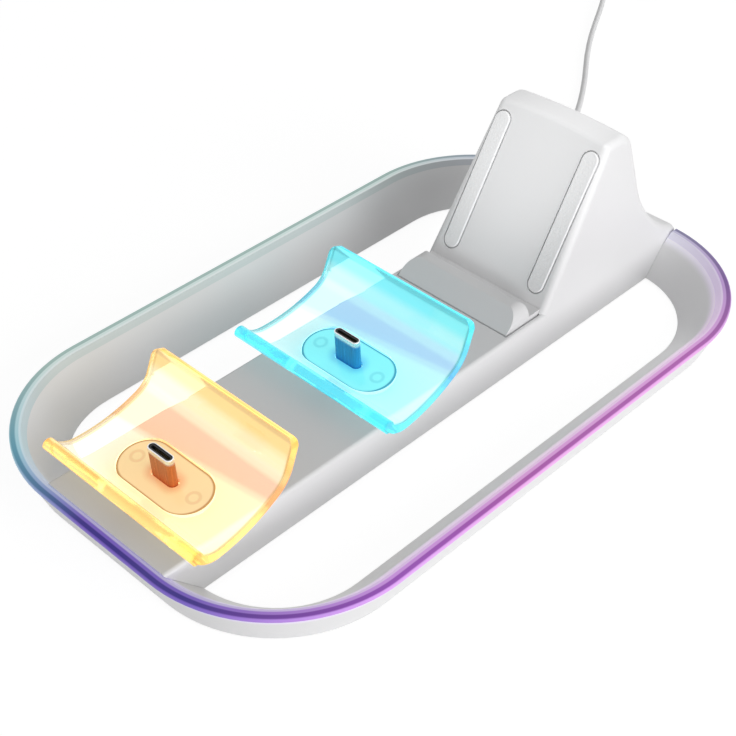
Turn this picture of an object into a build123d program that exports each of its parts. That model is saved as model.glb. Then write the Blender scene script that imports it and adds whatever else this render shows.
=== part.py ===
"""Charging dock for two handheld controllers, with a lit ring and a stand at one end.

Millimetres. The origin is at table level under the middle of the ring, +X runs along the
bridge towards the stand, +Y to the far side and +Z up.
"""
import os
from math import asin, atan, cos, degrees, pi, radians, sin, sqrt, tan

from build123d import *

os.makedirs("parts", exist_ok=True)

# Ring
ring_length = 200.0
ring_width = 120.0
ring_corner = 40.0
rim_height = 12.0
rim_width = 3.0
ring_lean = 4.7
ring_base = 9.5
ring_outer_wall = 1.6
ring_inner_wall = 2.2
ring_roof = 7.0
foot_height = 0.8
cover_thick = 1.4

# Light guide and light board in the rim
guide_height = 1.4
guide_flare = 0.4
guide_root = 1.3
guide_round = 0.5
channel_floor = 8.6
channel_outer_lip = 0.7
channel_inner_lip = 1.0
led_board_thick = 0.5

# Bridge and stand
bridge_half = 22.4
draft_angle = 3.6
deck_height = 12.4
shell_wall = 2.0
deck_round = 1.0
stand_inset = 62.0
face_angle = 58.4
stand_height = 55.0
crown_depth = 9.5
crown_sag = 1.5
rear_run = 6.0
rear_bend_height = 35.0
stand_round = 2.2
crown_round = 6.0
tail_floor = 9.1
tail_rise = 1.6

# Ledge in front of the stand
ledge_half = 19.8
ledge_depth = 13.8
ledge_seat = 0.8
ledge_groove = 0.6
ledge_slope_run = 5.4
ledge_height = 5.1
ledge_top = 4.2
ledge_floor = 1.2
ledge_corner = 4.0
ledge_round = 1.2

# Grip strips let into the stand's face
strip_length = 41.3
strip_width = 5.0
strip_spacing = 30.8
strip_centre = 25.2
strip_depth = 0.8
strip_proud = 0.4
strip_round = 0.35
strip_gap = 0.4

# Cradles
cradle_inset = 22.0
cradle_pitch = 62.0
trough_wall = 2.4
trough_lift = 0.7
trough_bottom = -6.5
trough_radius = 42.0
trough_sweep = 26.4
bend_radius = 8.0
bend_sweep = 43.0
back_rise = 7.6
front_radius = 7.0
front_sweep = 45.0
front_run = 1.5
bead_radius = 1.7
trough_half = 26.3
trough_taper = 4.0
lip_round = 1.0
back_corner = 3.0
seat_trim = 1.0
seat_gap = 0.05

# Oval pads and plugs
pad_length = 29.0
pad_width = 14.4
pad_thick = 1.4
pad_round = 0.3
plug_tilt = 4.0
plug_length = 8.34
plug_width = 2.56
plug_wall = 0.3
plug_reach = 8.3
plug_mouth_length = 6.7
plug_mouth_width = 0.9
plug_mouth_depth = 6.0
plug_round = 0.12
plug_slack = 0.35
plug_liner_gap = 0.1
plug_liner_drop = 0.2
plug_base_length = 9.0
plug_base_width = 3.6
deck_window_length = 12.0
deck_window_width = 6.0
plug_board_length = 26.0
plug_board_width = 9.0
plug_board_thick = 1.2

# Screws, base plate, feet and control board
cradle_screw_offset = 10.3
screw_shank = 1.9
screw_head = 3.6
screw_head_height = 1.2
cradle_screw_reach = 1.5
plate_thick = 1.6
boss_diameter = 6.0
base_screw_setback = 4.2
base_screw_offset = 14.0
base_screw_length = 6.5
sink_angle = 82.0
cross_length = 2.2
cross_width = 0.5
cross_depth = 0.7
ring_foot_diameter = 4.4
foot_round = 0.25
plate_foot_diameter = 8.0
plate_foot_offset = 13.0
plate_foot_inset = 17.0
board_setback = 8.0
board_length = 34.0
board_width = 30.0
board_thick = 1.6
post_height = 3.0
post_diameter = 4.0
post_inset = 3.0
chip_size = 7.0
chip_height = 1.0
can_diameter = 5.0
can_height = 6.0
socket_length = 7.5
socket_width = 5.0
socket_height = 4.5

# Fits
fit_gap = 0.2
hole_slack = 0.2

# Cord, about 1 m of thin round lead, and what is on it
cord_diameter = 2.0
relief_sink = 6.0
relief_shoulder_sink = 1.9
relief_neck = 3.2
relief_flange = 3.6
relief_flange_thick = 0.6
relief_wide = 4.4
relief_narrow = 2.9
wire_hole = 3.6
cord_steps = [
    (10.0, 10.0, 4.5),
    (19.0, 10.0, 4.5),
    (26.0, 16.5, 2.4),
    (29.5, 29.0, 1.0),
    (35.0, 44.5, 1.0),
    (61.4, 58.8, 1.0),
    (90.7, 80.0, 1.0),
]
cord_approach = 20.0
coil_run = 154.0
coil_side = 98.0
coil_columns = 6
coil_layers = 2
coil_middle = 11.0
coil_pitch = 2.05
coil_round = 0.9
coil_entry = 33.0
coil_lead = 9.0
tail_run = 4.0
tail_shift = 1.0
tail_length = 14.0
tie_angle = 225.0
tie_width = 3.0
tie_thick = 0.5
tie_slack = 0.4
usb_neck_diameter = 4.0
usb_neck_length = 4.0
usb_body_length = 22.0
usb_body_width = 15.0
usb_body_height = 7.9
usb_body_round = 1.6
usb_shell_length = 12.0
usb_shell_width = 12.0
usb_shell_height = 4.5
usb_shell_wall = 0.4
usb_shell_round = 0.4
usb_window = 2.2
usb_window_spacing = 5.0
usb_window_inset = 5.2
usb_insert_height = 1.9
usb_insert_inset = 0.6

# Places along the dock, all taken from the ring's ends
ring_end = ring_length / 2
face_foot = ring_end - stand_inset
ledge_front = face_foot - ledge_depth
board_front = face_foot + board_setback
cradle_places = {
    "amber": cradle_inset - ring_end,
    "cyan": cradle_inset + cradle_pitch - ring_end,
}
base_screw_rows = (cradle_inset + cradle_pitch / 2 - ring_end, ledge_front - base_screw_setback)
relief_root = ring_end - relief_sink
relief_shoulder = ring_end - relief_shoulder_sink
cord_route = [(ring_end + run, side, height) for run, side, height in cord_steps]
coil_centre = (ring_end + coil_run, coil_side)
relief_end, relief_offset, relief_height = cord_route[0]


def outer_at(height: float) -> float:
    """Distance of the ring's outer face from the rim's outline at a height."""
    return ring_lean * (rim_height - height) / rim_height


def inner_at(height: float) -> float:
    """Distance of the ring's inner face from the rim's outline at a height."""
    return rim_width + (ring_lean + ring_base - rim_width) * (rim_height - height) / rim_height


def half_width_at(height: float) -> float:
    """Half the width of the bridge and stand at a height, inside their drafted sides."""
    return bridge_half - (height - foot_height) * tan(radians(draft_angle))


base_screw_places = [
    (row, side * base_screw_offset) for row in base_screw_rows for side in (-1, 1)
]


def keep(part: Part, label: str) -> None:
    """Label a finished piece and write it as a node of its own."""
    part.label = label
    export_step(part, f"parts/{label}.step")


# Path round the rim, and the plane of the ring's section: x inwards, y up
ring_section = Plane(origin=(0, -ring_width / 2, 0), x_dir=(0, 1, 0), z_dir=(1, 0, 0))
side_straight = ring_length - 2 * ring_corner
end_straight = ring_width - 2 * ring_corner
with BuildLine() as rim_path:
    near_right = Line((0, -ring_width / 2), (side_straight / 2, -ring_width / 2))
    corner_a = JernArc(near_right @ 1, near_right % 1, ring_corner, 90)
    right_end = Line(corner_a @ 1, corner_a @ 1 + (0, end_straight))
    corner_b = JernArc(right_end @ 1, right_end % 1, ring_corner, 90)
    far_side = Line(corner_b @ 1, corner_b @ 1 - (side_straight, 0))
    corner_c = JernArc(far_side @ 1, far_side % 1, ring_corner, 90)
    left_end = Line(corner_c @ 1, corner_c @ 1 - (0, end_straight))
    corner_d = JernArc(left_end @ 1, left_end % 1, ring_corner, 90)
    Line(corner_d @ 1, near_right @ 0)
rim_wire = rim_path.wire()
wall_top = rim_height - guide_height
tail_half = half_width_at(tail_floor)
guide_gap_half = tail_half + 2 * fit_gap

# Ring frame: leaning walls, a channel for the light board on top, hollow underneath
with BuildPart() as ring_frame:
    with BuildSketch(ring_section):
        with BuildLine():
            Polyline(
                (outer_at(foot_height), foot_height),
                (outer_at(wall_top), wall_top),
                (inner_at(wall_top), wall_top),
                (inner_at(foot_height), foot_height),
                close=True,
            )
        make_face()
        with BuildLine():
            Polyline(
                (outer_at(foot_height) + ring_outer_wall, foot_height),
                (outer_at(ring_roof) + ring_outer_wall, ring_roof),
                (inner_at(ring_roof) - ring_inner_wall, ring_roof),
                (inner_at(foot_height) - ring_inner_wall, foot_height),
                close=True,
            )
        make_face(mode=Mode.SUBTRACT)
        with BuildLine():
            Polyline(
                (outer_at(channel_floor) + channel_outer_lip, channel_floor),
                (outer_at(wall_top) + channel_outer_lip, wall_top),
                (inner_at(wall_top) - channel_inner_lip, wall_top),
                (inner_at(channel_floor) - channel_inner_lip, channel_floor),
                close=True,
            )
        make_face(mode=Mode.SUBTRACT)
    sweep(path=rim_wire)
    # The stand's tail lies in this notch of the end wall
    notch_floor = tail_floor - fit_gap / 2
    with BuildSketch(Plane.XY.offset(notch_floor)):
        with Locations((ring_length / 2, 0)):
            Rectangle(2 * ring_corner, 2 * (tail_half + fit_gap))
    extrude(amount=rim_height, mode=Mode.SUBTRACT)
    # Hole for the cord's sleeve in the outer wall and for its wires in the inner wall
    with BuildSketch(Plane.YZ.offset(relief_root - fit_gap)):
        with Locations((relief_offset, relief_height)):
            Circle(relief_neck / 2 + hole_slack)
    extrude(amount=ring_corner, mode=Mode.SUBTRACT)
    with BuildSketch(Plane.YZ.offset(relief_root)):
        with Locations((relief_offset, relief_height)):
            Circle(wire_hole / 2)
    extrude(amount=-ring_corner / 2, mode=Mode.SUBTRACT)
keep(ring_frame.part, "ring_frame")

# Light guide: the rim's rounded top with a root held in the channel
root_floor = wall_top - guide_root
with BuildPart() as light_guide:
    with BuildSketch(ring_section) as guide_face:
        with BuildLine():
            Polyline(
                (outer_at(wall_top), wall_top),
                (0, wall_top + guide_flare),
                (0, rim_height),
                (rim_width, rim_height),
                (inner_at(wall_top), wall_top),
                close=True,
            )
        make_face()
        fillet(guide_face.vertices().group_by(Axis.Y)[-1], guide_round)
        with BuildLine():
            Polyline(
                (outer_at(root_floor) + channel_outer_lip, root_floor),
                (outer_at(wall_top) + channel_outer_lip, wall_top),
                (inner_at(wall_top) - channel_inner_lip, wall_top),
                (inner_at(root_floor) - channel_inner_lip, root_floor),
                close=True,
            )
        make_face()
    sweep(path=rim_wire)
    with BuildSketch(Plane.XY):
        with Locations((ring_length / 2, 0)):
            Rectangle(2 * ring_corner, 2 * guide_gap_half)
    extrude(amount=2 * rim_height, mode=Mode.SUBTRACT)
keep(light_guide.part, "light_guide")

# Light board lying on the channel's floor
led_top = channel_floor + led_board_thick
with BuildPart() as led_strip:
    with BuildSketch(ring_section):
        with BuildLine():
            Polyline(
                (outer_at(channel_floor) + channel_outer_lip + fit_gap, channel_floor),
                (outer_at(channel_floor) + channel_outer_lip + fit_gap, led_top),
                (inner_at(led_top) - channel_inner_lip - fit_gap, led_top),
                (inner_at(led_top) - channel_inner_lip - fit_gap, channel_floor),
                close=True,
            )
        make_face()
    sweep(path=rim_wire)
    with BuildSketch(Plane.XY):
        with Locations((ring_length / 2, 0)):
            Rectangle(2 * ring_corner, 2 * guide_gap_half)
    extrude(amount=2 * rim_height, mode=Mode.SUBTRACT)
keep(led_strip.part, "led_strip")

# Strip that closes the ring from below
cover_top = foot_height + cover_thick
cover_outer = outer_at(foot_height) + ring_outer_wall + fit_gap
with BuildPart() as ring_cover:
    with BuildSketch(ring_section):
        with BuildLine():
            Polyline(
                (cover_outer, foot_height),
                (cover_outer, cover_top),
                (inner_at(cover_top) - ring_inner_wall - fit_gap, cover_top),
                (inner_at(foot_height) - ring_inner_wall - fit_gap, foot_height),
                close=True,
            )
        make_face()
    sweep(path=rim_wire)
keep(ring_cover.part, "ring_cover")
cover_middle = (cover_outer + inner_at(foot_height) - ring_inner_wall) / 2

# Bridge and stand. Its ends are mitred to the ring's leaning inner face
end_top = ring_length / 2 - rim_width - fit_gap
end_foot = ring_length / 2 - inner_at(foot_height) - fit_gap
face_run = (stand_height - deck_height) / tan(radians(face_angle))
crown_front = face_foot + face_run
crown_back = crown_front + crown_depth
rear_bend = crown_back + rear_run
face_plane = Plane(
    origin=(face_foot, 0, deck_height),
    x_dir=(0, -1, 0),
    z_dir=(-sin(radians(face_angle)), 0, cos(radians(face_angle))),
)
deck_underside = deck_height - shell_wall
plate_top = foot_height + plate_thick
tail_top = deck_height + tail_rise
strip_places = [(-strip_spacing / 2, strip_centre), (strip_spacing / 2, strip_centre)]
side_planes = [
    Plane(
        origin=(0, side * bridge_half, foot_height),
        z_dir=(0, side * cos(radians(draft_angle)), sin(radians(draft_angle))),
    )
    for side in (-1, 1)
]


def on_side(edge: Edge) -> bool:
    """True for an edge of the stand that lies on one of its drafted outer sides."""
    middle = edge.center()
    return middle.Z > deck_height and abs(abs(middle.Y) - half_width_at(middle.Z)) < shell_wall / 4


def on_crown_back(edge: Edge) -> bool:
    """True for the edge where the crown meets the stand's back."""
    middle = edge.center()
    return middle.Z > stand_height - crown_sag and middle.X > crown_back - crown_round / 2


with BuildPart() as dock_housing:
    with BuildSketch(Plane.XZ):
        with BuildLine():
            Polyline(
                (end_top, tail_top),
                (end_top, rim_height),
                (end_foot, foot_height),
                (-end_foot, foot_height),
                (-end_top, rim_height),
                (-end_top, deck_height),
                (face_foot, deck_height),
                (crown_front, stand_height),
                (crown_back, stand_height),
                (rear_bend, rear_bend_height),
            )
            TangentArc(
                (rear_bend, rear_bend_height),
                (end_top, tail_top),
                tangent=(rear_run, rear_bend_height - stand_height),
            )
        make_face()
    extrude(amount=bridge_half, both=True)
    for plane in side_planes:
        split(bisect_by=plane, keep=Keep.BOTTOM)
    # Arched crown, highest in the middle
    with BuildSketch(Plane.YZ.offset(-ring_length / 2)):
        with BuildLine():
            Polyline(
                (-bridge_half, stand_height - crown_sag),
                (-bridge_half, foot_height),
                (bridge_half, foot_height),
                (bridge_half, stand_height - crown_sag),
            )
            ThreePointArc(
                (-bridge_half, stand_height - crown_sag),
                (0, stand_height),
                (bridge_half, stand_height - crown_sag),
            )
        make_face()
    extrude(amount=ring_length, mode=Mode.INTERSECT)
    fillet(dock_housing.edges().filter_by(on_crown_back), crown_round)
    offset(amount=-shell_wall, openings=dock_housing.faces().sort_by(Axis.Z)[0])
    # Tail that runs down over the ring's end
    with BuildSketch(Plane.XZ):
        with BuildLine():
            Polyline(
                (ring_length / 2 - inner_at(tail_floor) - fit_gap, tail_floor),
                (end_top, rim_height),
                (end_top, tail_top),
                (ring_length / 2, deck_height),
                (ring_length / 2 - outer_at(tail_floor), tail_floor),
                close=True,
            )
        make_face()
    extrude(amount=bridge_half, both=True)
    for plane in side_planes:
        split(bisect_by=plane, keep=Keep.BOTTOM)
    crown_edges = dock_housing.edges().filter_by(
        lambda edge: edge.center().Z > stand_height - crown_sag
    )
    fillet(dock_housing.edges().filter_by(on_side) + crown_edges, stand_round)
    # Shallow pocket that the ledge stands in, with a groove left open round its foot
    with BuildSketch(Plane.XY.offset(deck_height)):
        with Locations((face_foot, 0)):
            Rectangle(
                ledge_depth + ledge_groove,
                2 * (ledge_half + ledge_groove),
                align=(Align.MAX, Align.CENTER),
            )
    extrude(amount=-ledge_seat, mode=Mode.SUBTRACT)
    deck_edges = dock_housing.edges().filter_by(Axis.X).filter_by(
        lambda edge: abs(edge.center().Z - deck_height) < fit_gap and edge.length > face_foot
    )
    fillet(deck_edges, deck_round)
    # Pockets for the grip strips
    with BuildSketch(face_plane):
        with Locations(*strip_places):
            SlotOverall(strip_length + 2 * strip_gap, strip_width + 2 * strip_gap, rotation=90)
    extrude(amount=-strip_depth, mode=Mode.SUBTRACT)
    # Windows and screw holes under the cradles
    with BuildSketch(Plane.XY.offset(deck_height)):
        for place in cradle_places.values():
            with Locations((place, 0)):
                SlotOverall(deck_window_length, deck_window_width, rotation=90)
            with Locations((place, -cradle_screw_offset), (place, cradle_screw_offset)):
                Circle(screw_shank / 2 + hole_slack)
    extrude(amount=-2 * shell_wall, mode=Mode.SUBTRACT)
    # Bosses for the base plate's screws, and the hole for the wires
    with BuildSketch(Plane.XY.offset(plate_top)):
        with Locations(*base_screw_places):
            Circle(boss_diameter / 2)
    extrude(amount=deck_underside - plate_top)
    with BuildSketch(Plane.XY.offset(plate_top)):
        with Locations(*base_screw_places):
            Circle(screw_shank / 2 + hole_slack)
    extrude(amount=base_screw_length, mode=Mode.SUBTRACT)
    with BuildSketch(Plane.YZ.offset(end_foot - wire_hole)):
        with Locations((relief_offset, relief_height)):
            Circle(wire_hole / 2)
    extrude(amount=ring_base, mode=Mode.SUBTRACT)
keep(dock_housing.part, "dock_housing")

# Base plate with posts for the control board
plate_slack = shell_wall + fit_gap + plate_top * tan(radians(draft_angle))
plate_half = bridge_half - plate_slack
plate_length = 2 * (end_foot - shell_wall / sin(atan(rim_height / (inner_at(0) - rim_width))) - fit_gap)
board_middle = board_front + board_length / 2
post_places = [
    (board_middle + along * (board_length / 2 - post_inset), side * (board_width / 2 - post_inset))
    for along in (-1, 1)
    for side in (-1, 1)
]
with BuildPart() as base_plate:
    with BuildSketch(Plane.XY.offset(foot_height)):
        Rectangle(plate_length, 2 * plate_half)
    extrude(amount=plate_thick)
    with BuildSketch(Plane.XY.offset(plate_top)):
        with Locations(*post_places):
            Circle(post_diameter / 2)
    extrude(amount=post_height)
    with Locations(*[(x, y, foot_height) for x, y in base_screw_places]):
        with Locations(Rotation(180, 0, 0)):
            CounterSinkHole(screw_shank / 2 + hole_slack, screw_head / 2 + hole_slack, plate_thick)
keep(base_plate.part, "base_plate")

# Ledge: a low lip with a slot behind it, standing on the deck against the stand's face
ledge_back = face_foot - fit_gap
ledge_crest = deck_height + ledge_height
seat_level = deck_height - ledge_seat
slot_floor = deck_height + ledge_floor
slot_front = ledge_front + ledge_slope_run + ledge_top
with BuildPart() as rest_ledge:
    with BuildSketch(Plane.XZ):
        with BuildLine():
            Polyline(
                (ledge_front, seat_level),
                (ledge_front, deck_height),
                (ledge_front + ledge_slope_run, ledge_crest),
                (slot_front, ledge_crest),
                (slot_front, slot_floor),
                (ledge_back + ledge_floor / tan(radians(face_angle)), slot_floor),
                (ledge_back, deck_height),
                (ledge_back, seat_level),
                close=True,
            )
        make_face()
    extrude(amount=ledge_half, both=True)
    fillet(rest_ledge.edges().filter_by(Axis.Y).group_by(Axis.Z)[-1], ledge_round)
    with BuildSketch(Plane.YZ.offset(ledge_front)) as ledge_front_view:
        with Locations((0, seat_level)):
            Rectangle(2 * ledge_half, ledge_crest - seat_level, align=(Align.CENTER, Align.MIN))
        fillet(ledge_front_view.vertices().group_by(Axis.Y)[-1], ledge_corner)
    extrude(amount=ledge_back, mode=Mode.INTERSECT)
keep(rest_ledge.part, "rest_ledge")

# Grip strips in the pockets of the face
for name, place in zip(("grip_strip_left", "grip_strip_right"), strip_places):
    with BuildPart() as grip_strip:
        with BuildSketch(face_plane.offset(-strip_depth)):
            with Locations(place):
                SlotOverall(strip_length, strip_width, rotation=90)
        extrude(amount=strip_depth + strip_proud)
        fillet(grip_strip.faces().sort_by(Axis((0, 0, 0), face_plane.z_dir))[-1].edges(), strip_round)
    keep(grip_strip.part, name)

# Shape of a cradle: a trough with a low beaded front lip and a steep back
trough_floor = deck_height + trough_lift + trough_wall
floor_at_plug = trough_floor + trough_radius - sqrt(trough_radius**2 - trough_bottom**2)
pad_slope = degrees(asin(-trough_bottom / trough_radius))
back_angle = radians(trough_sweep + bend_sweep)


def pad_plane_at(place: float) -> Plane:
    """Plane of a pad's top, on the trough's floor round a plug, x along the pad."""
    normal = (-sin(radians(pad_slope)), 0, cos(radians(pad_slope)))
    return Plane(origin=(place, 0, floor_at_plug), x_dir=(0, 1, 0), z_dir=normal)


def plug_plane_at(place: float) -> Plane:
    """Plane across a plug where it leaves the trough's floor, x along its mouth."""
    axis = (-sin(radians(plug_tilt)), 0, cos(radians(plug_tilt)))
    return Plane(origin=(place, 0, floor_at_plug), x_dir=(0, 1, 0), z_dir=axis)


def floor_under(run: float) -> float:
    """Height of the middle of the trough's wall at a distance from the plug."""
    middle = trough_radius + trough_wall / 2
    return trough_floor + trough_radius - sqrt(middle**2 - (run - trough_bottom) ** 2)


def trough_curve(depth: float) -> tuple[Vector, Vector]:
    """Draw the trough's line at a depth under its inner face.

    Args:
        depth: distance outside the inner face, 0 or the wall's thickness.

    Returns:
        The front and back ends of the line.
    """
    lowest = (trough_bottom, trough_floor - depth)
    floor = JernArc(lowest, (1, 0), trough_radius + depth, trough_sweep)
    bend = JernArc(floor @ 1, floor % 1, bend_radius + depth, bend_sweep)
    back = Line(bend @ 1, bend @ 1 + (bend % 1) * back_rise)
    front = JernArc(lowest, (-1, 0), front_radius + depth, -front_sweep)
    lip = Line(front @ 1, front @ 1 + (front % 1) * front_run)
    return lip @ 1, back @ 1


def make_cradle(place: float) -> Part:
    """Model one clear trough with its seat on the deck and the recess for its pad.

    Args:
        place: position of its plug along the bridge.

    Returns:
        The cradle.
    """
    section = Plane(origin=(place, 0, 0), x_dir=(1, 0, 0), z_dir=(0, -1, 0))
    pad_plane = pad_plane_at(place)
    seat_reach = pad_width / 2 - seat_trim
    # Seat under the pad, between the deck and the middle of the trough's wall
    with BuildPart() as seat:
        with BuildSketch(section):
            with BuildLine():
                Polyline(
                    (seat_reach, floor_under(seat_reach)),
                    (seat_reach, deck_height + seat_gap),
                    (-seat_reach, deck_height + seat_gap),
                    (-seat_reach, floor_under(-seat_reach)),
                )
                RadiusArc(
                    (-seat_reach, floor_under(-seat_reach)),
                    (seat_reach, floor_under(seat_reach)),
                    -(trough_radius + trough_wall / 2),
                )
            make_face()
        extrude(amount=pad_length, both=True)
        with BuildSketch(Plane.XY):
            with Locations((place, 0)):
                SlotOverall(pad_length - 2 * seat_trim, 2 * seat_reach, rotation=90)
        extrude(amount=stand_height, mode=Mode.INTERSECT)
    with BuildPart() as cradle:
        with BuildSketch(section) as trough_face:
            with BuildLine():
                inner_front, inner_back = trough_curve(0)
                outer_front, outer_back = trough_curve(trough_wall)
                Line(inner_front, outer_front)
                Line(inner_back, outer_back)
            make_face()
            fillet(trough_face.vertices().sort_by(Axis.Y)[-2:], lip_round)
            with Locations((inner_front + outer_front) * 0.5):
                Circle(bead_radius)
        extrude(amount=2 * trough_half, both=True)
        for side in (-1, 1):
            split(
                bisect_by=Plane(
                    origin=(place, side * trough_half, 0),
                    z_dir=(sin(radians(trough_taper)), side * cos(radians(trough_taper)), 0),
                ),
                keep=Keep.BOTTOM,
            )
        # Rounded top corners of the back, where its half width has grown by the taper
        back_foot = inner_back.X - back_corner * cos(back_angle)
        corner_half = trough_half - back_foot * tan(radians(trough_taper))
        back_plane = Plane(
            origin=(place + inner_back.X, 0, inner_back.Y),
            x_dir=(0, 1, 0),
            z_dir=(sin(back_angle), 0, -cos(back_angle)),
        )
        with BuildSketch(back_plane):
            with Locations((-corner_half, 0), (corner_half, 0)):
                Rectangle(2 * back_corner, 2 * back_corner)
            for side in (-1, 1):
                with Locations((side * (corner_half - back_corner), -back_corner)):
                    Circle(back_corner, mode=Mode.SUBTRACT)
        extrude(amount=2 * trough_wall, both=True, mode=Mode.SUBTRACT)
        add(seat.part)
        with BuildSketch(pad_plane.offset(-pad_thick)):
            SlotOverall(pad_length + fit_gap, pad_width + fit_gap)
        extrude(amount=2 * pad_thick, mode=Mode.SUBTRACT)
        with BuildSketch(plug_plane_at(place)):
            SlotOverall(plug_length + 2 * plug_slack, plug_width + 2 * plug_slack)
        extrude(amount=2 * trough_wall, both=True, mode=Mode.SUBTRACT)
        with BuildSketch(Plane.XY.offset(deck_height)):
            with Locations((place, -cradle_screw_offset), (place, cradle_screw_offset)):
                Circle(screw_shank / 2 + hole_slack / 2)
        extrude(amount=cradle_screw_reach + hole_slack, mode=Mode.SUBTRACT)
    return cradle.part


for name, place in cradle_places.items():
    keep(make_cradle(place), f"cradle_{name}")


def make_pad(place: float) -> Part:
    """Model the oval pad that closes the recess round a plug."""
    pad_plane = pad_plane_at(place)
    with BuildPart() as pad:
        with BuildSketch(pad_plane.offset(-pad_thick)):
            SlotOverall(pad_length, pad_width)
        extrude(amount=pad_thick)
        top = pad.faces().sort_by(Axis((0, 0, 0), pad_plane.z_dir))[-1]
        fillet(top.edges(), pad_round)
        with BuildSketch(plug_plane_at(place)):
            SlotOverall(plug_length + 2 * plug_slack, plug_width + 2 * plug_slack)
        extrude(amount=2 * pad_thick, both=True, mode=Mode.SUBTRACT)
    return pad.part


# A plug stands on its base, which stands on the board under the deck
plug_seat = floor_at_plug - deck_height + 2 * fit_gap


def make_plug_shell(place: float) -> Part:
    """Model a plug's metal sleeve."""
    plug_plane = plug_plane_at(place)
    with BuildPart() as shell:
        with BuildSketch(plug_plane.offset(-plug_seat)):
            SlotOverall(plug_length, plug_width)
            SlotOverall(plug_length - 2 * plug_wall, plug_width - 2 * plug_wall, mode=Mode.SUBTRACT)
        extrude(amount=plug_seat + plug_reach)
        mouth = shell.faces().sort_by(Axis((0, 0, 0), plug_plane.z_dir))[-1]
        fillet(mouth.outer_wire().edges(), plug_round)
    return shell.part


def make_plug_core(place: float) -> Part:
    """Model a plug's dark liner with its mouth, and the base that carries the sleeve."""
    plug_plane = plug_plane_at(place)
    liner_trim = 2 * (plug_wall + plug_liner_gap)
    liner_top = plug_reach - plug_liner_drop
    with BuildPart() as core:
        with BuildSketch(plug_plane.offset(-plug_seat)):
            SlotOverall(plug_length - liner_trim, plug_width - liner_trim)
        extrude(amount=plug_seat + liner_top)
        with BuildSketch(plug_plane.offset(liner_top)):
            SlotOverall(plug_mouth_length, plug_mouth_width)
        extrude(amount=-plug_mouth_depth, mode=Mode.SUBTRACT)
        with BuildSketch(plug_plane.offset(-plug_seat)):
            Rectangle(plug_base_length, plug_base_width)
        extrude(amount=-2 * shell_wall)
        split(bisect_by=Plane.XY.offset(deck_underside), keep=Keep.TOP)
    return core.part


board_level = deck_underside - plug_board_thick


def make_plug_board(place: float) -> Part:
    """Model the small board under the deck that carries a plug."""
    with BuildPart() as board:
        with BuildSketch(Plane.XY.offset(board_level)):
            with Locations((place, 0)):
                Rectangle(plug_board_width, plug_board_length)
            with Locations((place, -cradle_screw_offset), (place, cradle_screw_offset)):
                Circle(screw_shank / 2 + hole_slack, mode=Mode.SUBTRACT)
        extrude(amount=plug_board_thick)
    return board.part


for name, place in cradle_places.items():
    keep(make_pad(place), f"plug_pad_{name}")
    keep(make_plug_shell(place), f"plug_shell_{name}")
    keep(make_plug_core(place), f"plug_core_{name}")
    keep(make_plug_board(place), f"plug_board_{name}")

# Screws that hold the boards and cradles from below, up through the deck
cradle_screw_places = [
    (place, side * cradle_screw_offset) for place in cradle_places.values() for side in (-1, 1)
]
with BuildPart() as cradle_screws:
    with BuildSketch(Plane.XY.offset(board_level)):
        with Locations(*cradle_screw_places):
            Circle(screw_head / 2)
    extrude(amount=-screw_head_height)
    with BuildSketch(Plane.XY.offset(board_level)):
        with Locations(*cradle_screw_places):
            Circle(screw_shank / 2)
    extrude(amount=deck_height + cradle_screw_reach - board_level)
    with BuildSketch(Plane.XY.offset(board_level - screw_head_height)):
        with Locations(*cradle_screw_places):
            Rectangle(cross_length, cross_width)
            Rectangle(cross_width, cross_length)
    extrude(amount=cross_depth, mode=Mode.SUBTRACT)
keep(cradle_screws.part, "cradle_screws")

# Countersunk screws of the base plate
sink_depth = (screw_head - screw_shank) / 2 / tan(radians(sink_angle / 2))
with BuildPart() as base_screws:
    with BuildSketch(Plane.XY.offset(foot_height)):
        with Locations(*base_screw_places):
            Circle(screw_head / 2)
    extrude(amount=sink_depth, taper=sink_angle / 2)
    with BuildSketch(Plane.XY.offset(foot_height)):
        with Locations(*base_screw_places):
            Circle(screw_shank / 2)
    extrude(amount=plate_thick + base_screw_length - hole_slack)
    with BuildSketch(Plane.XY.offset(foot_height)):
        with Locations(*base_screw_places):
            Rectangle(cross_length, cross_width)
            Rectangle(cross_width, cross_length)
    extrude(amount=cross_depth, mode=Mode.SUBTRACT)
keep(base_screws.part, "base_screws")

# Rubber feet: small ones under the ring's corners, larger ones under the bridge
corner_reach = (ring_corner - cover_middle) * sqrt(0.5)
ring_feet = [
    (along * (side_straight / 2 + corner_reach), across * (end_straight / 2 + corner_reach))
    for along in (-1, 1)
    for across in (-1, 1)
]
plate_foot_run = plate_length / 2 - plate_foot_inset
plate_feet = [
    (along * plate_foot_run, across * plate_foot_offset) for along in (-1, 1) for across in (-1, 1)
]
with BuildPart() as rubber_feet:
    with BuildSketch(Plane.XY):
        with Locations(*ring_feet):
            Circle(ring_foot_diameter / 2)
        with Locations(*plate_feet):
            Circle(plate_foot_diameter / 2)
    extrude(amount=foot_height)
    fillet(rubber_feet.edges().group_by(Axis.Z)[0], foot_round)
keep(rubber_feet.part, "rubber_feet")

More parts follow.
